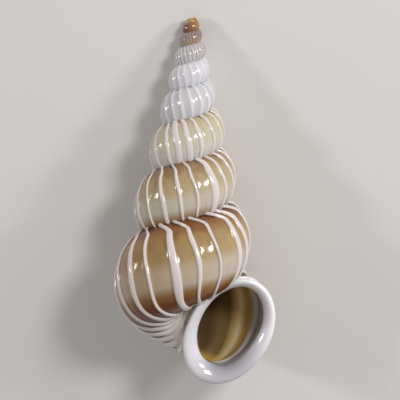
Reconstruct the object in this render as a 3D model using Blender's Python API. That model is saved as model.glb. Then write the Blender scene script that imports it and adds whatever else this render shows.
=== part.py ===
"""A wentletrap shell lying on its back, its mouth turned up and its tip toward +Y.

The shell is one tube that winds round an axis and grows as it goes. Each whorl is a fixed
share larger than the one before, so one section, scaled and turned, makes every whorl.
Lengths are metres at the mouth's size, and growth is counted in whorls: 0 at the mouth and
below 0 toward the tip.
"""
import math

import bmesh
import bpy
import numpy as np
from mathutils import Matrix, Vector

# The coil, at the mouth
WHORL_GROWTH = 1.3435        # size of a whorl over the one before it
COIL_HEIGHT = 0.03011        # from the point where the spiral would vanish down to the tube's centre
COIL_RADIUS = 0.00318        # from the axis out to the tube's centre
TUBE_HALF_WIDTH = 0.00426
TUBE_HALF_HEIGHT = 0.00528
WALL = 0.00050
PILLAR_RADIUS = 0.00085      # the solid pillar that the inner sides of the whorls grow round
PILLAR_WHORLS = (8.15, 0.35)  # where the pillar starts near the tip and ends under the last whorl
WHORLS = 8.45
HOLLOW_WHORLS = 2.65
TURN_OF_MOUTH = -1.7         # degrees round the axis from +X

# Where the tube's inner side and its roof are held, as shares of the pillar and the wall
OUTSIDE_PILLAR_SHARE = 0.4   # the outside runs into the pillar
OUTSIDE_ROOF_SHARE = -0.5    # and into the whorl above
HOLLOW_PILLAR_SHARE = 0.6    # the hollow keeps this much wall to the pillar
HOLLOW_ROOF_SHARE = 0.2      # and this much to the whorl above

# Ribs, old mouths kept as ridges across the whorls
RIB_HEIGHT = 0.00026
RIBS_PER_WHORL = 17
RIBBED_WHORLS = 6.8
FULL_RIBS = 5.0              # whorls whose ribs have a flat wall between them
USUAL_RIB_SHARE = 0.24       # of the space from one rib to the next
LEAST_RIB_SHARE = 0.22
RIB_SPREAD = 1.2             # width of a rib's foot over its share
RIB_LEAN = 14.0              # degrees that the rib's upper end runs ahead
RIB_HOOK = 11.0              # degrees more at the seam
HOOK_RANGE = (52.0, 76.0, 90.0, 170.0)       # degrees round the tube: in from, full, fading, gone
RIB_BASE_TRAIL = 8.0         # degrees more that its lower end lags under the base
TRAIL_RANGE = (45.0, 100.0, 120.0, 170.0)    # the same, downward

# The mouth's rim
LIP_OUT = 0.00386            # from the axis
LIP_DOWN = 0.03035           # from the spiral's vanishing point
LIP_HALF_LONG = 0.00523
LIP_HALF_SHORT = 0.00379
LIP_TILT = 28.0              # degrees, long axis from the shell's axis
LIP_LEAN = 10.0              # degrees, upper end ahead
LIP_AHEAD = 0.00095          # that the rim's front stands ahead of the axis
HOLE_SHIFT_OUT = 0.00008
HOLE_SHIFT_UP = 0.00040
HOLE_HALF_LONG = 0.00388
HOLE_HALF_SHORT = 0.00266
RIM_FLARE = 0.00045          # that the rim spreads past the tube
RIM_DEPTH = 0.00085          # of the rim, front to back
RIM_GROWTH = 0.03            # of a whorl that the rim takes up
LIP_REACH = 0.24             # of a whorl, over which the tube takes the mouth's shape
INNER_REACH = 0.16           # the same for the hollow
PACE_STEP = 0.01             # of a whorl, over which the coil's pace is measured

# The rim's rolled profile: spread from the mouth's outline, or from its hole, and depth behind its front
OUTER_TURN = ((-0.00028, 0.00075), (-0.00002, 0.00045), (-0.00012, 0.00010), (-0.00060, -0.00005))
INNER_TURN = ((0.00025, 0.00010), (0.0, 0.00060))

# How closely the rings stand
TIP_RINGS_PER_WHORL = 13
HOLLOW_RINGS_PER_WHORL = 14
HOLLOW_STARTS = 0.04         # whorls behind the mouth
TIP_CAP_SHARES = (0.45, 0.85)
TIP_CAP_LENGTH = 0.03        # whorls
HOLLOW_CAP_SHARE = 0.6

# How it lies
ROLL = 16.16                 # degrees round its own axis
SLOPE = 14.32                # degrees that the tip hangs below level

# Ribs seen on the front of each of the last three whorls, the last whorl first:
# degrees round the axis, and the share of the space to the next rib that it takes up
SEEN_RIBS = (
    ((19.5, 0.16), (34.2, 0.20), (60.0, 0.12), (79.9, 0.16), (100.2, 0.33), (125.3, 0.12), (144.3, 0.20)),
    ((39.1, 0.15), (55.6, 0.28), (80.2, 0.15), (99.6, 0.18), (120.8, 0.18), (141.7, 0.10)),
    ((46.0, 0.20), (71.0, 0.20), (90.8, 0.27), (109.0, 0.34), (126.0, 0.20), (151.0, 0.20)),
)

# Where the section's corners lie: degrees round the tube, 0 outward and 90 toward the tip
SECTION_ANGLES = (74, 52, 30, 8, -14, -34, -50, -74, -102, -135, 180, 125)

SHELL_COLOUR = (0.55, 0.44, 0.30, 1.0)
SHELL_ROUGHNESS = 0.18


def smooth(value, start, end):
    """0 before start, 1 after end, with an easy turn between."""
    share = np.clip((value - start) / (end - start), 0.0, 1.0)
    return share * share * (3.0 - 2.0 * share)


def within(value, start, full, fading, gone):
    """1 from full to fading, easing to 0 at start and at gone."""
    return smooth(value, start, full) * (1.0 - smooth(value, fading, gone))


def rib_places():
    """Growth and width share of each rib, from the mouth to the smooth first whorls."""
    seen = []
    for whorl, ribs in enumerate(SEEN_RIBS, 1):
        for angle, share in reversed(ribs):
            seen.append(((angle - TURN_OF_MOUTH) / 360.0 - whorl, share))
    places = []
    last = 0.0
    for growth, share in seen + [(-RIBBED_WHORLS, USUAL_RIB_SHARE)]:
        gaps = max(1, round((last - growth) * RIBS_PER_WHORL))
        for step in range(1, gaps):
            places.append((last + (growth - last) * step / gaps, USUAL_RIB_SHARE))
        places.append((growth, share))
        last = growth
    return places


def lean(around):
    """Degrees round the axis by which a rib's point runs ahead of its middle."""
    hook = RIB_HOOK * within(around, *HOOK_RANGE)
    trail = RIB_BASE_TRAIL * within(-around, *TRAIL_RANGE)
    return RIB_LEAN * np.sin(np.radians(around)) + hook - trail


def coil_point(growth, around, lift, hollow=False):
    """Points of the tube's outside or its hollow, in the shell's own frame with its axis up."""
    if hollow:
        lift = lift - WALL
        least_out = PILLAR_RADIUS + HOLLOW_PILLAR_SHARE * WALL
        overlap = HOLLOW_ROOF_SHARE * WALL
    else:
        least_out = OUTSIDE_PILLAR_SHARE * PILLAR_RADIUS
        overlap = OUTSIDE_ROOF_SHARE * WALL
    angle = np.radians(around)
    out = COIL_RADIUS + (TUBE_HALF_WIDTH + lift) * np.cos(angle)
    down = COIL_HEIGHT - (TUBE_HALF_HEIGHT + lift) * np.sin(angle)

    # The pillar round the axis, and the whorl above, whose wall this one shares
    out = np.maximum(out, least_out)
    above = (out * WHORL_GROWTH - COIL_RADIUS) / TUBE_HALF_WIDTH
    roof = COIL_HEIGHT + TUBE_HALF_HEIGHT * np.sqrt(np.maximum(0.0, 1.0 - above * above))
    down = np.maximum(down, roof / WHORL_GROWTH + overlap)

    size = WHORL_GROWTH ** growth
    turn = np.radians(360.0 * growth + TURN_OF_MOUTH)
    return np.stack((size * out * np.cos(turn), -size * out * np.sin(turn), -size * down), axis=-1)


def mouth_directions():
    """Unit vectors of the mouth: outward, up, its short and long way, and out of it."""
    turn = math.radians(TURN_OF_MOUTH)
    tip = math.radians(LIP_LEAN)
    tilt = math.radians(LIP_TILT)
    outward = np.array((math.cos(turn), -math.sin(turn), 0.0))
    ahead = np.array((-math.sin(turn), -math.cos(turn), 0.0))
    up = np.array((0.0, 0.0, 1.0))
    lean_up = math.cos(tip) * up + math.sin(tip) * ahead
    facing = math.cos(tip) * ahead - math.sin(tip) * up
    long_way = math.sin(tilt) * outward + math.cos(tilt) * lean_up
    short_way = math.cos(tilt) * outward - math.sin(tilt) * lean_up
    return outward, lean_up, short_way, long_way, facing


def lip_ring(spread, depth, hole=False):
    """A ring round the mouth or its hole, spread outward in its plane and set back by depth."""
    outward, lean_up, short_way, long_way, facing = mouth_directions()
    centre = LIP_OUT * outward - np.array((0.0, 0.0, LIP_DOWN)) + LIP_AHEAD * facing
    half_long, half_short = LIP_HALF_LONG, LIP_HALF_SHORT
    if hole:
        centre = centre + HOLE_SHIFT_OUT * outward + HOLE_SHIFT_UP * lean_up
        half_long, half_short = HOLE_HALF_LONG, HOLE_HALF_SHORT
    angle = np.radians(SECTION_ANGLES) + math.radians(LIP_TILT)
    across = np.outer(np.cos(angle) * (half_short + spread), short_way)
    along = np.outer(np.sin(angle) * (half_long + spread), long_way)
    return centre + across + along - depth * facing


def last_stretch(growth, coil_ring, reach, mouth_ring):
    """One ring of the stretch that bends from the coil's last true ring to the mouth."""
    coil = coil_ring(-reach)
    coil_pace = (coil - coil_ring(-reach - PACE_STEP)) / PACE_STEP
    out = LIP_OUT + LIP_HALF_SHORT * np.cos(np.radians(SECTION_ANGLES))
    mouth_pace = np.outer(2.0 * math.pi * np.maximum(out, PILLAR_RADIUS), mouth_directions()[4])

    span = reach - RIM_GROWTH
    t = (growth + reach) / span
    return ((2 * t ** 3 - 3 * t ** 2 + 1) * coil + (t ** 3 - 2 * t ** 2 + t) * span * coil_pace
            + (3 * t ** 2 - 2 * t ** 3) * mouth_ring + (t ** 3 - t ** 2) * span * mouth_pace)


def outer_ring(growth, lift=0.0):
    """One ring of the outside, ribs leaning, bending into the mouth's shape near the end."""
    def leaning(place, height=0.0):
        around = np.array(SECTION_ANGLES, float)
        return coil_point(place + lean(around) / 360.0, around, height)

    if growth < -LIP_REACH:
        return leaning(growth, lift)
    ring = last_stretch(growth, leaning, LIP_REACH, lip_ring(-RIM_FLARE, RIM_DEPTH))
    outward = ring - ring.mean(axis=0)
    return ring + lift * outward / np.linalg.norm(outward, axis=1, keepdims=True)


def inner_ring(growth):
    """One ring of the hollow, from the spiral's to the mouth hole's shape."""
    def hollow(place):
        return coil_point(place, np.array(SECTION_ANGLES, float), 0.0, hollow=True)

    if growth < -INNER_REACH:
        return hollow(growth)
    return last_stretch(growth, hollow, INNER_REACH, lip_ring(0.0, RIM_DEPTH, hole=True))


def outside_rings():
    """Rings from the tip's cap to just behind the rim, three for each rib of the last whorls."""
    growth = -WHORLS
    middle = outer_ring(growth).mean(axis=0)
    rings = []
    for share in TIP_CAP_SHARES:
        cap = outer_ring(growth - TIP_CAP_LENGTH * (1.0 - share))
        rings.append(middle + (cap - middle) * share)
    pitch = 1.0 / RIBS_PER_WHORL
    while growth < -RIBBED_WHORLS - pitch:
        rings.append(outer_ring(growth))
        growth += 1.0 / TIP_RINGS_PER_WHORL

    for place, share in reversed(rib_places()):
        if place < -FULL_RIBS:
            half = 0.5 * pitch
        else:
            half = 0.5 * max(share, LEAST_RIB_SHARE) * pitch * RIB_SPREAD
            rings.append(outer_ring(place - half))
        rings.append(outer_ring(place, RIB_HEIGHT))
        rings.append(outer_ring(place + half))
    return rings


def lip_rings():
    """The rolled rim, from behind its outer edge over the front to inside the hole."""
    rings = [lip_ring(spread, depth) for spread, depth in OUTER_TURN]
    rings += [lip_ring(spread, depth, hole=True) for spread, depth in INNER_TURN]
    return rings


def hollow_rings():
    """Rings of the hollow, from behind the mouth to where the old whorls are filled."""
    steps = round((HOLLOW_WHORLS - 0.1) * HOLLOW_RINGS_PER_WHORL)
    rings = [inner_ring(-HOLLOW_STARTS - step / HOLLOW_RINGS_PER_WHORL) for step in range(steps)]
    middle = rings[-1].mean(axis=0)
    rings.append(middle + (inner_ring(-HOLLOW_WHORLS) - middle) * HOLLOW_CAP_SHARE)
    return rings


def resting():
    """Turns the shell from axis-up to how it lies."""
    roll = Matrix.Rotation(math.radians(ROLL), 4, "Z")
    lay = Matrix.Rotation(math.radians(-90.0 - SLOPE), 4, "X")
    return lay @ roll


def solid(name, rings):
    """Closed object over a row of rings, with a fan over each end."""
    mesh = bmesh.new()
    rows = [[mesh.verts.new(point) for point in ring] for ring in rings]
    count = len(SECTION_ANGLES)
    for row, following in zip(rows, rows[1:]):
        for corner in range(count):
            beside = (corner + 1) % count
            mesh.faces.new((row[corner], following[corner], following[beside]))
            mesh.faces.new((row[corner], following[beside], row[beside]))
    for row in (rows[0], rows[-1]):
        middle = mesh.verts.new(sum((vertex.co for vertex in row), Vector()) / count)
        for corner in range(count):
            mesh.faces.new((row[corner], row[(corner + 1) % count], middle))
    bmesh.ops.recalc_face_normals(mesh, faces=mesh.faces[:])
    data = bpy.data.meshes.new(name)
    mesh.to_mesh(data)
    mesh.free()
    thing = bpy.data.objects.new(name, data)
    bpy.context.scene.collection.objects.link(thing)
    return thing


def combine(thing, other, operation):
    """Joins other to thing, or cuts it out, and removes other."""
    step = thing.modifiers.new(operation, "BOOLEAN")
    step.operation = operation
    step.solver = "EXACT"
    step.use_self = operation == "UNION"
    step.object = other
    bpy.context.view_layer.update()
    result = thing.evaluated_get(bpy.context.evaluated_depsgraph_get())
    thing.data = bpy.data.meshes.new_from_object(result)
    thing.modifiers.remove(step)
    bpy.data.objects.remove(other)


def fill_sealed_gaps(data):
    """Keeps the skin that the air reaches, so small gaps left along the axis are solid."""
    mesh = bmesh.new()
    mesh.from_mesh(data)
    waiting = set(mesh.faces)
    skins = []
    while waiting:
        edge_of_skin = [waiting.pop()]
        found = list(edge_of_skin)
        while edge_of_skin:
            face = edge_of_skin.pop()
            beside = {other for edge in face.edges for other in edge.link_faces} & waiting
            waiting -= beside
            edge_of_skin.extend(beside)
            found.extend(beside)
        skins.append(found)
    skins.sort(key=len)
    sealed = [face for found in skins[:-1] for face in found]
    bmesh.ops.delete(mesh, geom=sealed, context="FACES")
    mesh.to_mesh(data)
    mesh.free()


def pillar_rings():
    """The pillar that fills the axis, from near the tip to the base of the last whorl."""
    turns = np.radians(np.arange(len(SECTION_ANGLES)) * 360.0 / len(SECTION_ANGLES))
    circle = np.stack((np.cos(turns), np.sin(turns), 0.0 * turns), axis=-1)
    rings = []
    for whorls in PILLAR_WHORLS:
        size = WHORL_GROWTH ** -whorls
        rings.append(size * (PILLAR_RADIUS * circle - np.array((0.0, 0.0, COIL_HEIGHT))))
    return rings


def shell_material():
    """Glossy aragonite, tan all over, as the average of its bands and white ribs."""
    material = bpy.data.materials.new("glossy aragonite")
    material.use_nodes = True
    surface = material.node_tree.nodes["Principled BSDF"]
    surface.inputs["Base Color"].default_value = SHELL_COLOUR
    surface.inputs["Roughness"].default_value = SHELL_ROUGHNESS
    surface.inputs["Metallic"].default_value = 0.0
    return material


def make_shell():
    """The whole shell: its whorls joined where they touch, then hollowed from the mouth."""
    shell = solid("shell", outside_rings() + lip_rings())
    combine(shell, solid("pillar", pillar_rings()), "UNION")
    combine(shell, solid("hollow", lip_rings()[-1:] + hollow_rings()), "DIFFERENCE")
    fill_sealed_gaps(shell.data)

    shell.data.transform(resting())
    points = np.array([vertex.co for vertex in shell.data.vertices])
    low = points.min(axis=0)
    centre = (low + points.max(axis=0)) / 2.0
    shell.data.transform(Matrix.Translation((-centre[0], -centre[1], -low[2])))
    shell.data.materials.clear()
    shell.data.materials.append(shell_material())
    shell.data.shade_smooth()


for leftover in list(bpy.data.objects):
    bpy.data.objects.remove(leftover)

make_shell()
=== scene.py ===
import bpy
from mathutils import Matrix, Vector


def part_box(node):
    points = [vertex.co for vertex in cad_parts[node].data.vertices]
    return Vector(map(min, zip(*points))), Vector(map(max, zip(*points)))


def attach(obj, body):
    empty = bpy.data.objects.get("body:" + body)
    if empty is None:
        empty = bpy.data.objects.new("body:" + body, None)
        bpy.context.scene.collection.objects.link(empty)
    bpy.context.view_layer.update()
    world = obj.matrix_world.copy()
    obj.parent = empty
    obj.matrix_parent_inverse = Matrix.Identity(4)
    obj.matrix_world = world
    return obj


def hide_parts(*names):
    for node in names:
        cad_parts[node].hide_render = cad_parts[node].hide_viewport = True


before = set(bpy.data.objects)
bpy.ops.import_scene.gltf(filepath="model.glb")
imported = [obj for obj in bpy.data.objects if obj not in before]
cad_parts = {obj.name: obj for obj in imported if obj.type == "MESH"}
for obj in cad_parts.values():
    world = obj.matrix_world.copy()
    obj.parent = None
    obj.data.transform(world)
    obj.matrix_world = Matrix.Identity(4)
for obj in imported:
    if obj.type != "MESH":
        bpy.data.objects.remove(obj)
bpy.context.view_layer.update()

import math

import bpy
import numpy as np
from mathutils import Matrix, Vector

# A wentletrap shell on its back, its tip toward +Y and its mouth up.
# Lengths are metres at the mouth's size. Growth is counted in whorls: 0 at the mouth, below 0
# toward the tip. Age is growth with its sign turned: whorls from the mouth. Around is degrees
# round the tube: 0 outward, 90 toward the tip, below 0 toward the base.

# The coil
WHORL_GROWTH = 1.3435        # size of a whorl over the one before it
COIL_HEIGHT = 0.03011        # from the point where the spiral would vanish down to the tube's centre
COIL_RADIUS = 0.00318        # from the axis out to the tube's centre
TUBE_HALF_WIDTH = 0.00426
TUBE_HALF_HEIGHT = 0.00528
WALL = 0.00050
PILLAR_RADIUS = 0.00085      # the solid pillar that the inner sides of the whorls grow round
WHORLS = 9.2
HOLLOW_WHORLS = 0.85
TURN_OF_MOUTH = -1.7         # degrees round the axis from +X
FIT = 0.993                  # share of the faceted part's size, so the fine surface stays inside it

# How the walls of neighbouring whorls meet, as shares of the pillar or the wall
OUTSIDE_PILLAR_SHARE = 0.4   # the outside runs into the pillar
OUTSIDE_ROOF_SHARE = -0.5    # and into the whorl above
HOLLOW_PILLAR_SHARE = 0.6    # the hollow keeps this much wall to the pillar
HOLLOW_ROOF_SHARE = 0.45     # and this much to the whorl above

# Where the ribs are and how wide they are
RIBS_PER_WHORL = 17
CLOSE_RIBS_FROM = 5.0        # age where the ribs begin to stand closer
CLOSE_RIBS_PER_WHORL = 22
RIBBED_WHORLS = 7.1
USUAL_RIB_SHARE = 0.24       # of the space from one rib to the next
EARLY_WIDER = 0.5            # how much wider the early whorls' ribs are
EARLY_WIDER_AGES = (2.5, 4.0)
BASE_WIDENING = 1.7          # extra width of a rib under the whorl, as a share of its width
WIDENING_RANGE = (55.0, 100.0, 140.0, 175.0)  # degrees downward: in from, full, fading, gone
UNEVEN_WIDTH = 0.12          # how much a rib's width wanders along it
WIDTH_WAVES = 3.0            # times round the tube
UNEVEN_COURSE = 0.35         # degrees that a rib wanders off its line
COURSE_WAVES = 4.0
WANDER_PACE = 40.0           # radians a whorl, so that no two ribs wander alike
COURSE_PACE = 1.7            # how much faster the course changes than the width

# Ribs seen on the front of the last three whorls: degrees round the axis, share of the space
SEEN_RIBS = (
    ((19.5, 0.30), (34.2, 0.30), (60.0, 0.15), (79.9, 0.20), (100.2, 0.35), (125.3, 0.16), (144.3, 0.27)),
    ((39.1, 0.22), (55.6, 0.46), (80.2, 0.17), (99.6, 0.20), (120.8, 0.24), (141.7, 0.14)),
    ((46.0, 0.26), (71.0, 0.30), (90.8, 0.42), (109.0, 0.52), (126.0, 0.30), (151.0, 0.22)),
)

# How high the ribs stand
RIB_HEIGHT = 0.00022
SHOULDER_RISE = 0.45         # how much higher a rib stands near the seam
SHOULDER_RANGE = (40.0, 70.0)
EARLY_LOWERING = 0.45        # how much lower the early whorls' ribs stand
LOWERING_AGES = (3.0, 3.8)
FADING_AGES = (5.9, 7.3)     # where the ribs fade into the smooth first whorls

# How the ribs run across the whorl, in degrees round the axis
RIB_LEAN = 13.0
RIB_LOWER_LEAN = 4.0
LEAN_RANGE = (-40.0, 40.0)   # degrees round the tube where the lower lean turns into the upper
RIB_HOOK = 21.0
HOOK_RANGE = (46.0, 77.0, 90.0, 170.0)        # degrees upward: in from, full, fading, gone
HOOK_GROWTHS = (-2.0, -1.1)
EARLY_HOOK_SHARE = 0.45
RIB_BASE_TRAIL = 13.0
TRAIL_RANGE = (45.0, 105.0, 120.0, 170.0)     # degrees downward: in from, full, fading, gone

# The smooth callus that covers the ribs' ends beside the mouth, in degrees under the tube
CALLUS_RANGE = (106.0, 118.0)
CALLUS_GROWTHS = (-1.1, -0.9)

# Where the next whorl covers an older one, which has no ribs there, in degrees under the tube
COVERED_RANGE = (46.0, 60.0)
COVERED_AGES = (1.02, 1.10)

# The blunt tip
BLUNT_FROM = 7.6             # age
BLUNT_BY = 0.00043
TIP_NARROWING = 0.14         # share of its width that the tip loses
NARROWING_AGES = (8.0, 8.6)
TIP_END = 0.25               # whorls over which the tip's end rounds off
TIP_CLOSING = 0.97

# The mouth's rim
LIP_OUT = 0.00386            # from the axis
LIP_DOWN = 0.03035           # from the spiral's vanishing point
LIP_HALF_LONG = 0.00523
LIP_HALF_SHORT = 0.00379
LIP_TILT = 28.0              # degrees, long axis from the shell's axis
LIP_LEAN = 10.0              # degrees, upper end ahead
LIP_AHEAD = 0.00095          # that the rim's front stands ahead of the axis
HOLE_SHIFT_OUT = 0.00008
HOLE_SHIFT_UP = 0.00040
HOLE_HALF_LONG = 0.00388
HOLE_HALF_SHORT = 0.00266
HOLE_SPREAD = 0.00004        # that the hollow is wider than the hole behind the rim
RIM_FLARE = 0.00045          # that the rim spreads past the tube
RIM_DEPTH = 0.00085          # of the rim, front to back
RIM_GROWTH = 0.03            # of a whorl that the rim takes up
LIP_REACH = 0.24             # of a whorl, over which the tube takes the mouth's shape
INNER_REACH = 0.16           # the same for the hollow
PACE_STEP = 0.01             # of a whorl, over which the coil's pace is measured
RIDGE_AT = 0.080             # whorls inside the mouth
RIDGE_WIDTH = 0.009          # whorls
RIDGE_HEIGHT = 0.00018

# The back of the rim, up to its crest: how far it spreads, how deep it lies
RIM_BACK = (
    (-0.00038, 0.00080), (-0.00024, 0.00070), (-0.00010, 0.00056), (-0.00002, 0.00041),
    (0.0, 0.00027), (-0.00003, 0.00014))

# The rim's wide slope: share of the way to the hole, how deep it lies
RIM_SLOPE = (
    (0.06, 0.00005), (0.14, -0.00002), (0.24, -0.00005), (0.35, -0.00003), (0.47, 0.00004),
    (0.60, 0.00014), (0.73, 0.00027), (0.85, 0.00042), (0.94, 0.00057), (1.0, 0.00070))

# The mesh
ROOF_ROWS = (118.0, 98.0, 84.0, 76.0)         # hidden under the whorl above
SEAM_ROWS = (71.0, 41.0, 11)                  # from, to and how many, finest where the ribs hook
SHOWN_ROWS = (37.0, -50.0, 20)
BASE_ROWS = (-56.0, -231.0, 27)
RIB_STEPS = 4                # columns on each side of a rib's crest, in the last whorls
GAP_STEPS = 6                # columns between two ribs, in the last whorls
EARLY_RIB_STEPS = 2
EARLY_GAP_STEPS = 1
EARLY_FROM = 3.4             # age where the coarser columns begin
TIP_STEP = 0.033             # whorls between columns of the smooth tip
TIP_GAP = 0.06               # whorls from those to the first rib
RIM_COLUMNS = 2              # from the last rib to the rim
RIM_GAP = 0.002              # whorls from those to the rim
HOLLOW_RINGS = ((0.034, 0.125, 26), (0.134, 0.5, 26), (0.52, HOLLOW_WHORLS, 30))
HOLLOW_CAP_SHARES = (0.6, 0.2)
FLAT = 1e-6                  # ridge under which a column is between ribs

# What the material reads on each point
RIM_BLEND = 3.0              # rings over which the wall's colour gives way to the rim's
# Sides round the tube from which the rim's painted light (outer side) and painted shade (under side) are
# measured
OUTER_SIDE = -12.0           # degrees round the tube
UNDER_SIDE = -80.0

# Patterns: how long they are round the last whorl, how long across it
WHORL_ROUND = 2.0 * math.pi * (COIL_RADIUS + TUBE_HALF_WIDTH)
TUBE_ROUND = math.pi * math.sqrt(2.0 * (TUBE_HALF_WIDTH ** 2 + TUBE_HALF_HEIGHT ** 2))
GROWTH_LINES = (0.0005194, 0.004186)          # coarser than real ones, so that they show
CLOUDS = (0.001798, 0.002392)

# How it lies
ROLL = 16.16                 # degrees round its own axis
SLOPE = 14.32                # degrees that the tip hangs below level

# The photo's view: where the axis crosses the picture, in pixels, and how the camera is turned
PIXEL = 0.0902e-3
PICTURE = 400
AXIS_X = 192.3
APEX_Y = -7.0
PICTURE_TILT = 1.03          # degrees
VIEW_RAISED = 3.0            # degrees toward the tip
CAMERA_FAR = 0.6
SENSOR = 36.0

# The studio: each lamp's place, size and power in watts
FLOOR_HALF = 0.6
LAMP_TARGET = (0.0, 0.0, 0.005)
LAMPS = {
    "right lamp": ((0.245, 0.193, 0.259), 0.07, 0.75),
    "low right lamp": ((0.337, 0.161, 0.152), 0.06, 0.55),
    "left lamp": ((-0.332, 0.092, 0.204), 0.05, 0.33),
    "low left lamp": ((-0.390, 0.048, 0.068), 0.04, 0.09),
}
ROOM_COLOUR = "#efecea"
ROOM_STRENGTH = 0.31

# How a point of the flat strip is rolled up: what each step gives, its operation, what it works on
ROLLING_UP = (
    ("turn of tube", "MULTIPLY", "around", 2.0 * math.pi),
    ("half width", "ADD", "Tube half width", "lift"),
    ("half height", "ADD", "Tube half height", "lift"),
    ("tube cosine", "COSINE", "turn of tube"),
    ("across", "MULTIPLY", "half width", "tube cosine"),
    ("free out", "ADD", "Coil radius", "across"),
    ("out", "MAXIMUM", "free out", "Pillar radius"),
    ("tube sine", "SINE", "turn of tube"),
    ("rise", "MULTIPLY", "half height", "tube sine"),
    ("free down", "SUBTRACT", "Coil height", "rise"),

    # The whorl above is the same section, one growth step smaller, and this one stays under it
    ("out above", "MULTIPLY", "out", "Whorl growth"),
    ("off centre", "SUBTRACT", "out above", "Coil radius"),
    ("share", "DIVIDE", "off centre", "Tube half width"),
    ("share squared", "MULTIPLY", "share", "share"),
    ("left", "SUBTRACT", 1.0, "share squared"),
    ("left or none", "MAXIMUM", "left", 0.0),
    ("belly", "SQRT", "left or none"),
    ("hang", "MULTIPLY", "Tube half height", "belly"),
    ("underside", "ADD", "Coil height", "hang"),
    ("roof", "DIVIDE", "underside", "Whorl growth"),
    ("roof with overlap", "ADD", "roof", "Overlap of whorls"),
    ("down", "MAXIMUM", "free down", "roof with overlap"),

    # The section grows as it winds round the axis
    ("size", "POWER", "Whorl growth", "growth"),
    ("winding", "MULTIPLY", "growth", 2.0 * math.pi),
    ("turn", "ADD", "winding", "Turn of mouth"),
    ("turn cosine", "COSINE", "turn"),
    ("turn sine", "SINE", "turn"),
    ("reach", "MULTIPLY", "size", "out"),
    ("x", "MULTIPLY", "reach", "turn cosine"),
    ("back", "MULTIPLY", "reach", "turn sine"),
    ("y", "MULTIPLY", "back", -1.0),
    ("depth", "MULTIPLY", "size", "down"),
    ("z", "MULTIPLY", "depth", -1.0),
)


def smooth(value, start, end):
    """0 before start, 1 after end, with an easy turn between."""
    share = np.clip((value - start) / (end - start), 0.0, 1.0)
    return share * share * (3.0 - 2.0 * share)


def within(value, start, full, fading, gone):
    """0 up to start, 1 from full to fading and 0 again past gone, with easy turns between."""
    return smooth(value, start, full) * (1.0 - smooth(value, fading, gone))


def linear(hex_colour):
    """An sRGB hex colour as linear RGBA."""
    channels = [int(hex_colour[i:i + 2], 16) / 255.0 for i in (1, 3, 5)]
    return [c / 12.92 if c <= 0.04045 else ((c + 0.055) / 1.055) ** 2.4 for c in channels] + [1.0]


def add(tree, kind, inputs=(), stops=(), **settings):
    """Adds a node with its settings, its colour stops and its inputs.

    An input is a number, a hex colour, a socket, or a node, whose first output in use is linked.
    """
    node = tree.nodes.new(kind)
    for name, value in settings.items():
        setattr(node, name, value)
    for index, (place, colour) in enumerate(stops):
        elements = node.color_ramp.elements
        element = elements[index] if index < len(elements) else elements.new(place)
        element.position = place
        element.color = linear(colour)
    named = inputs if isinstance(inputs, dict) else dict(enumerate(inputs))
    for name, value in named.items():
        if isinstance(value, bpy.types.Node):
            value = next(socket for socket in value.outputs if socket.enabled)
        if isinstance(value, bpy.types.NodeSocket):
            tree.links.new(value, node.inputs[name])
        else:
            node.inputs[name].default_value = linear(value) if isinstance(value, str) else value
    return node


def rib_places():
    """Growth and width share of each rib, from the mouth to the smooth first whorls."""
    marks = []
    for whorl, ribs in enumerate(SEEN_RIBS, start=1):
        for angle, share in reversed(ribs):
            marks.append(((angle - TURN_OF_MOUTH) / 360.0 - whorl, share))
    marks += [(-CLOSE_RIBS_FROM, USUAL_RIB_SHARE), (-RIBBED_WHORLS, USUAL_RIB_SHARE)]
    places = []
    last = 0.0
    for growth, share in marks:
        to_whorl = CLOSE_RIBS_PER_WHORL if growth < -CLOSE_RIBS_FROM else RIBS_PER_WHORL
        gaps = max(1, round((last - growth) * to_whorl))
        for step in range(1, gaps):
            places.append((last + (growth - last) * step / gaps, USUAL_RIB_SHARE))
        places.append((growth, share))
        last = growth
    return places


def lean(around):
    """Degrees round the axis by which a rib's point runs ahead of its middle, but for its hook."""
    most = RIB_LOWER_LEAN + (RIB_LEAN - RIB_LOWER_LEAN) * smooth(around, *LEAN_RANGE)
    return most * np.sin(np.radians(around)) - RIB_BASE_TRAIL * within(-around, *TRAIL_RANGE)


def hook(around, growth):
    """Degrees by which a rib's upper end bends further ahead at the seam, most in the last whorl."""
    share = EARLY_HOOK_SHARE + (1.0 - EARLY_HOOK_SHARE) * smooth(growth, *HOOK_GROWTHS)
    return RIB_HOOK * np.outer(share, within(around, *HOOK_RANGE))


def rib_line(around, growth):
    """Whorls by which each point of these rings runs ahead of the ring's middle."""
    return (lean(around) + hook(around, growth)) / 360.0


def row_angles():
    """Corners of the section: finest at the seam, where ribs hook, and coarse where it is hidden."""
    shown = [np.linspace(*rows) for rows in (SEAM_ROWS, SHOWN_ROWS, BASE_ROWS)]
    return np.concatenate((ROOF_ROWS, *shown))


def rib_columns(place, half):
    """Columns over one rib: growth, how far each moves as the rib widens, ridge from 0 to 1."""
    fade = 1.0 - smooth(-place, *FADING_AGES)
    steps = EARLY_RIB_STEPS if -place > EARLY_FROM else RIB_STEPS
    turns = [0.5 * math.pi * step / steps for step in range(-steps, steps + 1)]
    return [(place, half * math.sin(turn), fade * math.cos(turn)) for turn in turns]


def gap_columns(rib, next_rib):
    """Columns between two ribs, in the same form."""
    steps = EARLY_GAP_STEPS if -rib[0] > EARLY_FROM else GAP_STEPS
    shares = [step / (steps + 1) for step in range(1, steps + 1)]
    return [(rib[0] + (next_rib[0] - rib[0]) * share, rib[1] * (1.0 - share) - next_rib[1] * share, 0.0)
            for share in shares]


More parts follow.
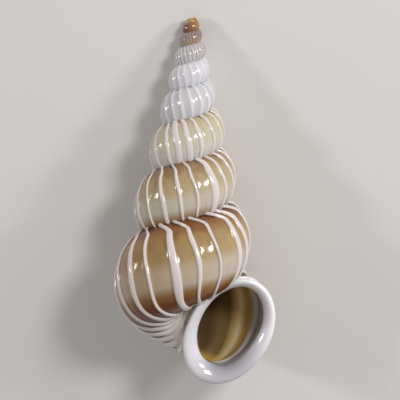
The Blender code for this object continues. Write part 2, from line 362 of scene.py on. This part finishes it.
def column_places():
    """All columns, tip to mouth: growth, how far each moves as ribs widen, ridge from 0 to 1."""
    columns = []
    growth = -WHORLS
    while growth < -RIBBED_WHORLS - TIP_GAP:
        columns.append((growth, 0.0, 0.0))
        growth += TIP_STEP
    ribs = []
    for place, share in reversed(rib_places()):
        wider = 1.0 + EARLY_WIDER * smooth(-place, *EARLY_WIDER_AGES)
        ribs.append((place, 0.5 * share / RIBS_PER_WHORL * wider))
    for rib, next_rib in zip(ribs, ribs[1:] + [None]):
        columns += rib_columns(*rib)
        if next_rib:
            columns += gap_columns(rib, next_rib)
    last = sum(ribs[-1])
    for step in range(1, RIM_COLUMNS + 1):
        columns.append((last + (-RIM_GROWTH - RIM_GAP - last) * step / RIM_COLUMNS, 0.0, 0.0))
    return np.array(columns)


def coil_tree():
    """Geometry Nodes that roll a flat strip up along the spiral.

    The strip's X is growth, its Y the turn round the tube and its Z the height above the wall.
    """
    tree = bpy.data.node_groups.new("coil the strip", "GeometryNodeTree")
    face = tree.interface
    face.new_socket("Strip", in_out="INPUT", socket_type="NodeSocketGeometry")
    for name, value in (
        ("Whorl growth", WHORL_GROWTH),
        ("Coil height", COIL_HEIGHT),
        ("Coil radius", COIL_RADIUS),
        ("Tube half width", TUBE_HALF_WIDTH),
        ("Tube half height", TUBE_HALF_HEIGHT),
        ("Pillar radius", PILLAR_RADIUS),
        ("Overlap of whorls", 0.0),
        ("Turn of mouth", math.radians(TURN_OF_MOUTH)),
    ):
        face.new_socket(name, in_out="INPUT", socket_type="NodeSocketFloat").default_value = value
    face.new_socket("Finish", in_out="INPUT", socket_type="NodeSocketMaterial")
    face.new_socket("Coil", in_out="OUTPUT", socket_type="NodeSocketGeometry")

    flat = add(tree, "ShaderNodeSeparateXYZ", (add(tree, "GeometryNodeInputPosition"),)).outputs
    known = {socket.name: socket for socket in add(tree, "NodeGroupInput").outputs}
    known |= {"growth": flat["X"], "around": flat["Y"], "lift": flat["Z"]}
    for name, operation, *terms in ROLLING_UP:
        values = [known[term] if isinstance(term, str) else term for term in terms]
        known[name] = add(tree, "ShaderNodeMath", values, operation=operation, label=name)
    point = add(tree, "ShaderNodeCombineXYZ", (known["x"], known["y"], known["z"]))
    rolled = add(tree, "GeometryNodeSetPosition", {"Geometry": known["Strip"], "Position": point})
    real = add(tree, "GeometryNodeRealizeInstances", (rolled,))
    done = add(tree, "GeometryNodeSetMaterial", {"Geometry": real, "Material": known["Finish"]})
    add(tree, "NodeGroupOutput", (done,))
    return tree


def grid_faces(columns, rows, closed=False):
    """Quads over a grid of columns by rows, the rows closed into a tube if asked."""
    faces = []
    for column in range(columns - 1):
        for row in range(rows if closed else rows - 1):
            beside = (row + 1) % rows
            start = column * rows
            faces.append((start + row, start + rows + row, start + rows + beside, start + beside))
    return faces


def coiled(tree, growth, around, lift, hollow=False):
    """Points of a strip with these columns and rows, rolled up by the tree."""
    columns, rows = lift.shape
    flat = np.empty((columns, rows, 3))
    flat[:, :, 0] = growth
    flat[:, :, 1] = around / 360.0
    flat[:, :, 2] = lift - (WALL if hollow else 0.0)
    mesh = bpy.data.meshes.new("strip")
    mesh.from_pydata(flat.reshape(-1, 3).tolist(), [], grid_faces(columns, rows))
    strip = bpy.data.objects.new("strip", mesh)
    bpy.context.scene.collection.objects.link(strip)
    roll = strip.modifiers.new("coil", "NODES")
    roll.node_group = tree
    pillar = PILLAR_RADIUS + HOLLOW_PILLAR_SHARE * WALL if hollow else OUTSIDE_PILLAR_SHARE * PILLAR_RADIUS
    sockets = {item.name: item.identifier for item in tree.interface.items_tree}
    roll[sockets["Pillar radius"]] = pillar
    roll[sockets["Overlap of whorls"]] = WALL * (HOLLOW_ROOF_SHARE if hollow else OUTSIDE_ROOF_SHARE)
    bpy.context.view_layer.update()
    ready = strip.evaluated_get(bpy.context.evaluated_depsgraph_get())
    result = bpy.data.meshes.new_from_object(ready)
    points = np.empty(len(result.vertices) * 3)
    result.vertices.foreach_get("co", points)
    bpy.data.objects.remove(strip)
    bpy.data.meshes.remove(mesh)
    bpy.data.meshes.remove(result)
    return points.reshape(columns, rows, 3)


def coil_ring(tree, reach, around, ahead, hollow=False):
    """The coil's own ring at a reach from the mouth, and how far it would move in a whorl."""
    growth = np.array(((-reach - PACE_STEP,), (-reach,))) + ahead
    before, ring = coiled(tree, growth, around, np.zeros(growth.shape), hollow)
    return ring, (ring - before) / PACE_STEP


def mouth_directions():
    """Unit vectors of the mouth: outward, up, its short and long way, and out of it."""
    turn = math.radians(TURN_OF_MOUTH)
    tip = math.radians(LIP_LEAN)
    tilt = math.radians(LIP_TILT)
    outward = np.array((math.cos(turn), -math.sin(turn), 0.0))
    ahead = np.array((-math.sin(turn), -math.cos(turn), 0.0))
    up = np.array((0.0, 0.0, 1.0))
    lean_up = math.cos(tip) * up + math.sin(tip) * ahead
    facing = math.cos(tip) * ahead - math.sin(tip) * up
    long_way = math.sin(tilt) * outward + math.cos(tilt) * lean_up
    short_way = math.cos(tilt) * outward - math.sin(tilt) * lean_up
    return outward, lean_up, short_way, long_way, facing


def lip_ring(around, spread, depth, hole=0.0):
    """A ring at the mouth: spread from its outline (hole 0) or its hole (hole 1), set back by depth."""
    outward, lean_up, short_way, long_way, facing = mouth_directions()
    centre = LIP_OUT * outward - np.array((0.0, 0.0, LIP_DOWN)) + LIP_AHEAD * facing
    centre = centre + hole * (HOLE_SHIFT_OUT * outward + HOLE_SHIFT_UP * lean_up)
    half_long = LIP_HALF_LONG + hole * (HOLE_HALF_LONG - LIP_HALF_LONG)
    half_short = LIP_HALF_SHORT + hole * (HOLE_HALF_SHORT - LIP_HALF_SHORT)
    angle = np.radians(around + LIP_TILT)
    across = np.outer(np.cos(angle) * (half_short + spread), short_way)
    along = np.outer(np.sin(angle) * (half_long + spread), long_way)
    return centre + across + along - depth * facing


def bend_to_mouth(points, growth, lift, around, start, reach, mouth_ring):
    """Bends the columns past the coil's last true ring over to the mouth, in place."""
    coil, pace = start
    out = LIP_OUT + LIP_HALF_SHORT * np.cos(np.radians(around))
    mouth_pace = np.outer(2.0 * math.pi * np.maximum(out, PILLAR_RADIUS), mouth_directions()[4])
    span = reach - RIM_GROWTH
    for column in np.flatnonzero(growth > -reach):
        t = (growth[column] + reach) / span
        ring = ((2 * t ** 3 - 3 * t ** 2 + 1) * coil + (t ** 3 - 2 * t ** 2 + t) * span * pace
                + (3 * t ** 2 - 2 * t ** 3) * mouth_ring + (t ** 3 - t ** 2) * span * mouth_pace)
        outward = ring - ring.mean(axis=0)
        outward /= np.linalg.norm(outward, axis=1, keepdims=True)
        points[column] = ring + lift[column][:, None] * outward


def rib_course(columns, growth, around):
    """Growth at each point, as its rib widens under the whorl, leans, hooks and wanders."""
    middle = columns[:, :1]
    beat = WANDER_PACE * middle
    turn = np.radians(around)
    uneven = 1.0 + UNEVEN_WIDTH * np.sin(WIDTH_WAVES * turn + beat)
    sway = UNEVEN_COURSE / 360.0 * np.sin(COURSE_WAVES * turn + COURSE_PACE * beat)
    width = columns[:, 1:2] * (1.0 + BASE_WIDENING * within(-around, *WIDENING_RANGE)) * uneven
    return middle + width + rib_line(around, growth) + sway


def rib_mask(ridge, growth, place, around):
    """How much each point is rib, 0 to 1: none on the callus, nor where the next whorl covers it."""
    callus = smooth(-around, *CALLUS_RANGE) * smooth(growth, *CALLUS_GROWTHS)[:, None]
    covered = smooth(-around, *COVERED_RANGE) * smooth(-place, *COVERED_AGES)
    return ridge[:, None] * (1.0 - callus) * (1.0 - covered)


def finish_tip(points, columns, place):
    """Shortens and narrows the first whorls and rounds off their end, in place."""
    points[:, :, 2] -= BLUNT_BY * smooth(-place, BLUNT_FROM, WHORLS)
    points[:, :, :2] *= 1.0 - TIP_NARROWING * smooth(-place, *NARROWING_AGES)[:, :, None]
    past = np.clip((TIP_END - WHORLS - columns[:, 0]) / TIP_END, 0.0, 1.0)[:, None, None]
    middle = points.mean(axis=1, keepdims=True)
    points[:] = middle + (points - middle) * np.sqrt(1.0 - TIP_CLOSING * past ** 2)


def outside(tree, around):
    """Rings of the outside, tip to rim; each ring's growth and ridge; how much each point is rib."""
    columns = column_places()
    growth = columns[:, 0] + columns[:, 1]
    ridge = columns[:, 2]
    place = rib_course(columns, growth, around)
    rib = rib_mask(ridge, growth, place, around)
    lower = 1.0 - EARLY_LOWERING * smooth(-growth, *LOWERING_AGES)
    shoulder = 1.0 + SHOULDER_RISE * smooth(around, *SHOULDER_RANGE)
    lift = RIB_HEIGHT * rib * lower[:, None] * shoulder
    points = coiled(tree, place, around, lift)
    finish_tip(points, columns, place)
    start = coil_ring(tree, LIP_REACH, around, rib_line(around, np.array((-LIP_REACH,))))
    mouth_ring = lip_ring(around, -RIM_FLARE, RIM_DEPTH)
    bend_to_mouth(points, growth, lift, around, start, LIP_REACH, mouth_ring)
    return points, growth, ridge, rib


def rim(around):
    """Rings of the rim: out behind it, over its crest and down its wide slope into the hole."""
    back = [lip_ring(around, spread, depth) for spread, depth in RIM_BACK]
    slope = [lip_ring(around, 0.0, depth, hole) for hole, depth in RIM_SLOPE]
    return np.array(back + slope)


def hollow(tree, around):
    """Rings of the hollow, from behind the rim back to its closed end, with each ring's growth."""
    growth = -np.concatenate([np.linspace(*rings) for rings in HOLLOW_RINGS])
    straight = np.zeros((1, len(around)))
    ridge = RIDGE_HEIGHT * np.exp(-((growth + RIDGE_AT) / RIDGE_WIDTH) ** 2)
    level = straight - ridge[:, None]
    points = coiled(tree, growth[:, None] + straight, around, level, hollow=True)
    start = coil_ring(tree, INNER_REACH, around, straight, hollow=True)
    mouth_ring = lip_ring(around, HOLE_SPREAD, RIM_DEPTH, 1.0)
    bend_to_mouth(points, growth, level, around, start, INNER_REACH, mouth_ring)
    middle = points[-1].mean(axis=0)
    cap = [middle + (points[-1] - middle) * share for share in HOLLOW_CAP_SHARES]
    return np.concatenate((points, cap)), np.append(growth, [growth[-1]] * len(cap))


def closed_mesh(name, rings):
    """A mesh over rings of points, each end closed to its middle."""
    columns, rows = rings.shape[:2]
    end = (columns - 1) * rows
    first, last = columns * rows, columns * rows + 1
    points = rings.reshape(-1, 3).tolist()
    points += [rings[0].mean(axis=0).tolist(), rings[-1].mean(axis=0).tolist()]
    faces = grid_faces(columns, rows, closed=True)
    for row in range(rows):
        beside = (row + 1) % rows
        faces.append((row, beside, first))
        faces.append((end + beside, end + row, last))
    mesh = bpy.data.meshes.new(name)
    mesh.from_pydata(points, [], faces)
    return mesh


def pit_shade_beside(ridge):
    """1 on the rings at the foot of every other rib, where painted shade stands for a pit at the seam, and
    0 elsewhere.
    """
    flat = ridge < FLAT
    feet = np.flatnonzero(~flat[:-2] & flat[1:-1] & flat[2:]) + 1
    pit_shade = np.zeros(len(ridge))
    for beside in (0, 1):
        pit_shade[feet[::2] + beside] = 1.0
    return pit_shade


def turned_from(around, middle):
    """Degrees round the tube from a middle, either way, 0 to 180."""
    return np.abs((around - middle + 180.0) % 360.0 - 180.0)


def write_readings(mesh, around, growth, ridge, rib, depth):
    """Stores what the material reads: by ring, by row of the section and by point."""
    skin, turned, inner = len(growth), len(RIM_BACK) + len(RIM_SLOPE), len(depth)
    rows = len(around)
    by_ring = {
        "growth": (growth, np.zeros(turned), depth),
        "rim": (np.zeros(skin), np.clip(np.arange(turned) / RIM_BLEND, 0.0, 1.0), np.zeros(inner)),
        "inside": (np.zeros(skin), np.linspace(0.0, 1.0, turned) ** 3, np.ones(inner)),
        "pit_shading": (pit_shade_beside(ridge), np.zeros(turned + inner)),
    }
    by_row = {
        "around": around,
        "from_outside": turned_from(around, OUTER_SIDE),
        "from_below": turned_from(around, UNDER_SIDE),
    }
    readings = {name: np.repeat(np.concatenate(parts), rows) for name, parts in by_ring.items()}
    readings |= {name: np.tile(values, skin + turned + inner) for name, values in by_row.items()}
    readings["rib"] = np.append(rib, np.zeros((turned + inner, rows)))
    for name, values in readings.items():
        with_ends = np.append(values, (values[0], values[-1])).astype(np.float32)
        mesh.attributes.new(name, "FLOAT", "POINT").data.foreach_set("value", with_ends)


def lay_down(mesh):
    """Turns the shell onto its back, sets it where the part lies, and gives the whole move."""
    lay = Matrix.Rotation(math.radians(-90.0 - SLOPE), 4, "X") @ Matrix.Rotation(math.radians(ROLL), 4, "Z")
    lay = Matrix.Scale(FIT, 4) @ lay
    mesh.transform(lay)
    corners = np.array([vertex.co for vertex in mesh.vertices])
    low, high = corners.min(axis=0), corners.max(axis=0)
    box_low, box_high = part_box("shell")
    side_room = (box_high.x - box_low.x - high[0] + low[0]) / 2.0
    shift = Vector((box_low.x - low[0] + side_room, box_low.y - low[1] + side_room, -low[2]))
    mesh.transform(Matrix.Translation(shift))
    return Matrix.Translation(shift) @ lay


def make_shell(finish):
    """The whole shell in one mesh: outside, rim and hollow, laid on its back."""
    around = row_angles()
    tree = coil_tree()
    skin, growth, ridge, rib = outside(tree, around)
    inside, depth = hollow(tree, around)
    mesh = closed_mesh("shell_skin", np.concatenate((skin, rim(around), inside)))
    write_readings(mesh, around, growth, ridge, rib, depth)
    placed = lay_down(mesh)
    mesh.shade_smooth()
    mesh.materials.append(finish)
    shell = bpy.data.objects.new("shell_skin", mesh)
    bpy.context.scene.collection.objects.link(shell)
    return shell, placed


def mask(tree, *parts, share=1.0):
    """Where a mark shows, 0 to 1: the product of its parts and its share.

    A part is a reading, or a reading with the value where the mark begins and where it is full.
    """
    product = share
    for part in parts:
        if isinstance(part, tuple):
            part = add(tree, "ShaderNodeMapRange", part, interpolation_type="SMOOTHSTEP")
        product = add(tree, "ShaderNodeMath", (product, part), operation="MULTIPLY")
    return product


def laid_over(tree, colour, *coats):
    """A colour with coats laid over it in turn, each with its blend, its mask and its colour."""
    for blend, where, coat in coats:
        inputs = {0: where, 6: colour, 7: coat}
        colour = add(tree, "ShaderNodeMix", inputs, data_type="RGBA", blend_type=blend)
    return colour


def shaded(tree, reading, start, end, stops):
    """A colour that changes with a reading, through stops given in the reading's own units."""
    share = add(tree, "ShaderNodeMapRange", (reading, start, end))
    shares = [((place - start) / (end - start), colour) for place, colour in stops]
    return add(tree, "ShaderNodeValToRGB", (share,), shares)


def speckle(tree, read, size, detail):
    """Noise on the shell's own growth, with spots of this size round the whorl and across it."""
    along = add(tree, "ShaderNodeMath", (read["growth"], WHORL_ROUND / size[0]), operation="MULTIPLY")
    up = add(tree, "ShaderNodeMath", (read["around"], TUBE_ROUND / 360.0 / size[1]), operation="MULTIPLY")
    place = add(tree, "ShaderNodeCombineXYZ", (along, up))
    return add(tree, "ShaderNodeTexNoise", {"Vector": place, "Scale": 1.0, "Detail": detail})


def wall_colour(tree, read):
    """The wall between the ribs: banded on the later whorls, one tone after another on the early."""
    growth, around = read["growth"], read["around"]
    bands = shaded(tree, around, -180.0, 120.0, (
        (-150, "#cabfb2"), (-122, "#bcae9f"), (-97, "#7c502c"), (-66, "#643212"), (-50, "#7a400e"),
        (-37, "#94703f"), (-24, "#c2b6a8"), (-6, "#c0b4a2"), (8, "#b09970"), (36, "#a68959"),
        (50, "#905e2c"), (70, "#643610")))
    third = shaded(tree, around, -180.0, 120.0, (
        (-60, "#c0b6ac"), (-20, "#d0c8c0"), (-2, "#ccc3ae"), (40, "#c1b598"), (66, "#b3a07c")))
    ages = shaded(tree, growth, -3.0, -9.2, (
        (-3.0, "#c6bda6"), (-3.6, "#c8c6c9"), (-5.0, "#d4d2d7"), (-5.7, "#b4aeae"), (-6.3, "#a0948e"),
        (-6.6, "#8c7a78"), (-7.2, "#7e6866"), (-7.6, "#7e584a"), (-7.95, "#a07c44"), (-8.25, "#885c3c"),
        (-8.55, "#b08c54"), (-8.75, "#b89c64"), (-8.9, "#9c5c1c"), (-9.1, "#6a2e06")))
    near_mouth = mask(tree, (growth, -0.86, -0.60), (around, -62.0, -30.0))
    tawny = mask(tree, (growth, -5.8, -6.4), (growth, -7.5, -7.1), (around, 20.0, -30.0))
    return laid_over(
        tree, bands,
        ("MULTIPLY", near_mouth, "#eadac4"),
        ("MIX", mask(tree, (growth, -1.4, -2.4)), third),
        ("MIX", mask(tree, (growth, -2.9, -3.5)), laid_over(tree, ages, ("MIX", tawny, "#a08c6c"))))


def marked(tree, read, wall):
    """The wall with its growth lines, the clouds under its seam and painted shade for the pits beside its
    ribs.
    """
    growth, around = read["growth"], read["around"]
    lines = mask(tree, (speckle(tree, read, GROWTH_LINES, 3.0), 0.5, 0.8), share=0.22)
    clouds = mask(
        tree, (speckle(tree, read, CLOUDS, 1.0), 0.42, 0.68), (around, -5.0, 45.0), (growth, -2.6, -1.6),
        share=0.42)
    # Painted shade: dark brown marks stand for the shadow in the pits at the seam
    pit_shade = mask(tree, read["pit_shading"], (around, 54.0, 60.0), (growth, -4.2, -3.4), share=0.8)
    return laid_over(
        tree, wall,
        ("MULTIPLY", lines, "#9a8468"),
        ("MULTIPLY", clouds, "#b48c62"),
        ("MIX", pit_shade, "#3a2414"))


def ribbed(tree, read, wall):
    """The wall with its ribs, the pale band behind the rim and the glaze beside the mouth, whose own pale
    colour is painted paler still as painted light.
    """
    growth, around, rib = read["growth"], read["around"], read["rib"]
    tone = laid_over(
        tree, "#dad1cf",
        ("MIX", mask(tree, (growth, -2.9, -3.6)), "#dcdadf"),
        ("MIX", mask(tree, (growth, -5.2, -6.6)), "#a89890"))
    # Partly painted light: the callus's pale glaze is painted paler still, against the shade of the nook
    # between callus and rim
    glaze_with_painted_light = mask(tree, (around, -90.0, -112.0), (growth, -1.1, -0.9), (rib, 0.4, 0.0), share=0.85)
    return laid_over(
        tree, wall,
        ("MIX", mask(tree, (rib, 0.0, 0.4)), tone),
        ("MIX", mask(tree, (growth, -0.06, -0.031)), "#d2ced0"),
        ("MIX", glaze_with_painted_light, "#ded6cd"))


def inner_colour(tree, read):
    """Inside: the shell's own white, gold and brown, with painted light and shade: a grey band of painted
    shadow before a thin ridge, gold painted brighter as light shining through the wall, and brown that
    deepens as painted shade as the tube turns away.
    """
    growth, from_outside = read["growth"], read["from_outside"]
    # Painted shadow: the grey from -0.046 to -0.064 stands for a groove behind the rim that has no depth;
    # painted shade: the brown deepens further in, and on the pillar side
    outer_side = shaded(tree, growth, -0.03, -0.5, (
        (-0.03, "#cccad4"), (-0.046, "#bab8be"), (-0.064, "#a29c96"), (-0.071, "#d6d0c6"),
        (-0.082, "#c6bdae"), (-0.090, "#d8bc78"), (-0.103, "#dab460"), (-0.118, "#fff2cc"),
        (-0.128, "#ead094"), (-0.145, "#8c7448"), (-0.165, "#8c7650"), (-0.19, "#624e32"),
        (-0.24, "#66543c"), (-0.30, "#564634"), (-0.5, "#3c2d20")))
    pillar_side = shaded(tree, growth, -0.03, -0.5, (
        (-0.03, "#b4b2bc"), (-0.05, "#8a7040"), (-0.12, "#8c744c"), (-0.19, "#58462e"), (-0.5, "#33261c")))
    # Painted light: the gold is laid on brighter, standing for light that shines through the wall
    gold = mask(tree, (growth, -0.085, -0.11), (from_outside, 48.0, 72.0), share=0.75)
    return laid_over(
        tree, outer_side,
        ("MIX", mask(tree, (from_outside, 70.0, 105.0)), pillar_side),
        ("MIX", gold, "#dab04c"))


def rim_colour(tree, read):
    """The rim: bluish white, with painted light on its outer side, where it is whiter, and painted shade
    under the mouth, where it is greyer, most so on the slope into the hole.
    """
    from_outside, from_below = read["from_outside"], read["from_below"]
    # Painted light: the crest is painted whiter toward its outer side
    crest_painted_light = laid_over(tree, "#f6f3f8", ("MIX", mask(tree, (from_outside, 50.0, 140.0)), "#dddadc"))
    # Painted shade: the crest is painted greyer under the mouth
    crest = laid_over(tree, "#cbc9cf", ("MIX", mask(tree, (from_below, 20.0, 80.0)), crest_painted_light))
    # Painted shade: the slope into the hole is painted dark grey on its lower side
    slope = laid_over(tree, "#686268", ("MIX", mask(tree, (from_below, 0.0, 80.0)), "#ebe9f0"))
    return laid_over(tree, crest, ("MIX", read["inside"], slope))


def aragonite():
    """Aragonite laid down by the animal in thin sheets, glossy as it grew."""
    material = bpy.data.materials.new("glossy aragonite")
    material.use_nodes = True
    tree = material.node_tree
    surface = tree.nodes["Principled BSDF"]
    names = ("growth", "around", "rib", "rim", "inside", "pit_shading", "from_outside", "from_below")
    read = {name: add(tree, "ShaderNodeAttribute", attribute_name=name).outputs["Fac"] for name in names}
    colour = laid_over(
        tree, ribbed(tree, read, marked(tree, read, wall_colour(tree, read))),
        ("MIX", read["inside"], inner_colour(tree, read)),
        ("MIX", read["rim"], rim_colour(tree, read)))
    tree.links.new(colour.outputs[2], surface.inputs["Base Color"])

    # The eye sees a wet gloss with small bright glints, over a body that light sinks into a little
    surface.inputs["Roughness"].default_value = 0.13
    surface.inputs["IOR"].default_value = 1.53
    surface.inputs["Subsurface Weight"].default_value = 0.45
    surface.inputs["Subsurface Radius"].default_value = (1.0, 0.8, 0.6)
    surface.inputs["Subsurface Scale"].default_value = WALL
    return material


def floor():
    """A plain pale floor of matt paper, which gives no glare."""
    mesh = bpy.data.meshes.new("floor")
    corners = [(x * FLOOR_HALF, y * FLOOR_HALF, 0.0) for x, y in ((-1, -1), (1, -1), (1, 1), (-1, 1))]
    mesh.from_pydata(corners, [], [(0, 1, 2, 3)])
    plane = bpy.data.objects.new("floor", mesh)
    material = bpy.data.materials.new("matt paper")
    material.use_nodes = True
    surface = material.node_tree.nodes["Principled BSDF"]
    surface.inputs["Base Color"].default_value = linear("#e4e2df")
    surface.inputs["Roughness"].default_value = 0.9
    mesh.materials.append(material)
    bpy.context.scene.collection.objects.link(plane)


def camera(placed):
    """The camera, straight over the shell's mouth side as in the photo, through a long lens."""
    raised = math.radians(VIEW_RAISED)
    tilt = math.radians(PICTURE_TILT)
    side = Vector((1.0, 0.0, 0.0))
    back = Vector((0.0, -math.cos(raised), math.sin(raised)))
    up = Vector((0.0, math.sin(raised), math.cos(raised)))
    right = math.cos(tilt) * side + math.sin(tilt) * up
    top = math.cos(tilt) * up - math.sin(tilt) * side
    from_axis = (PICTURE / 2 - AXIS_X) * PIXEL
    from_apex = (PICTURE / 2 - APEX_Y) * PIXEL
    centre = right * from_axis - top * from_apex
    turn = placed.to_3x3().normalized()
    right, top, back = turn @ right, turn @ top, turn @ back
    eye = placed @ centre + back * CAMERA_FAR

    data = bpy.data.cameras.new("camera")
    data.sensor_width = SENSOR
    data.lens = SENSOR * CAMERA_FAR / (PICTURE * PIXEL * FIT)
    data.clip_end = 10.0
    look = bpy.data.objects.new("camera", data)
    look.matrix_world = Matrix((
        (right.x, top.x, back.x, eye.x),
        (right.y, top.y, back.y, eye.y),
        (right.z, top.z, back.z, eye.z),
        (0.0, 0.0, 0.0, 1.0)))
    bpy.context.scene.collection.objects.link(look)
    bpy.context.scene.camera = look


def studio():
    """Plain soft light: two square lamps on each side, turned toward the shell, in a dim pale room."""
    for name, (place, size, power) in LAMPS.items():
        data = bpy.data.lights.new(name, "AREA")
        data.size = size
        data.energy = power
        light = bpy.data.objects.new(name, data)
        light.location = place
        light.rotation_euler = (Vector(place) - Vector(LAMP_TARGET)).to_track_quat("Z", "Y").to_euler()
        bpy.context.scene.collection.objects.link(light)
    world = bpy.data.worlds.new("room")
    world.use_nodes = True
    background = world.node_tree.nodes["Background"]
    background.inputs["Color"].default_value = linear(ROOM_COLOUR)
    background.inputs["Strength"].default_value = ROOM_STRENGTH
    bpy.context.scene.world = world
    bpy.context.scene.view_settings.view_transform = "Standard"


shell, placed = make_shell(aragonite())
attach(shell, "root")
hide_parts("shell")
floor()
camera(placed)
studio()
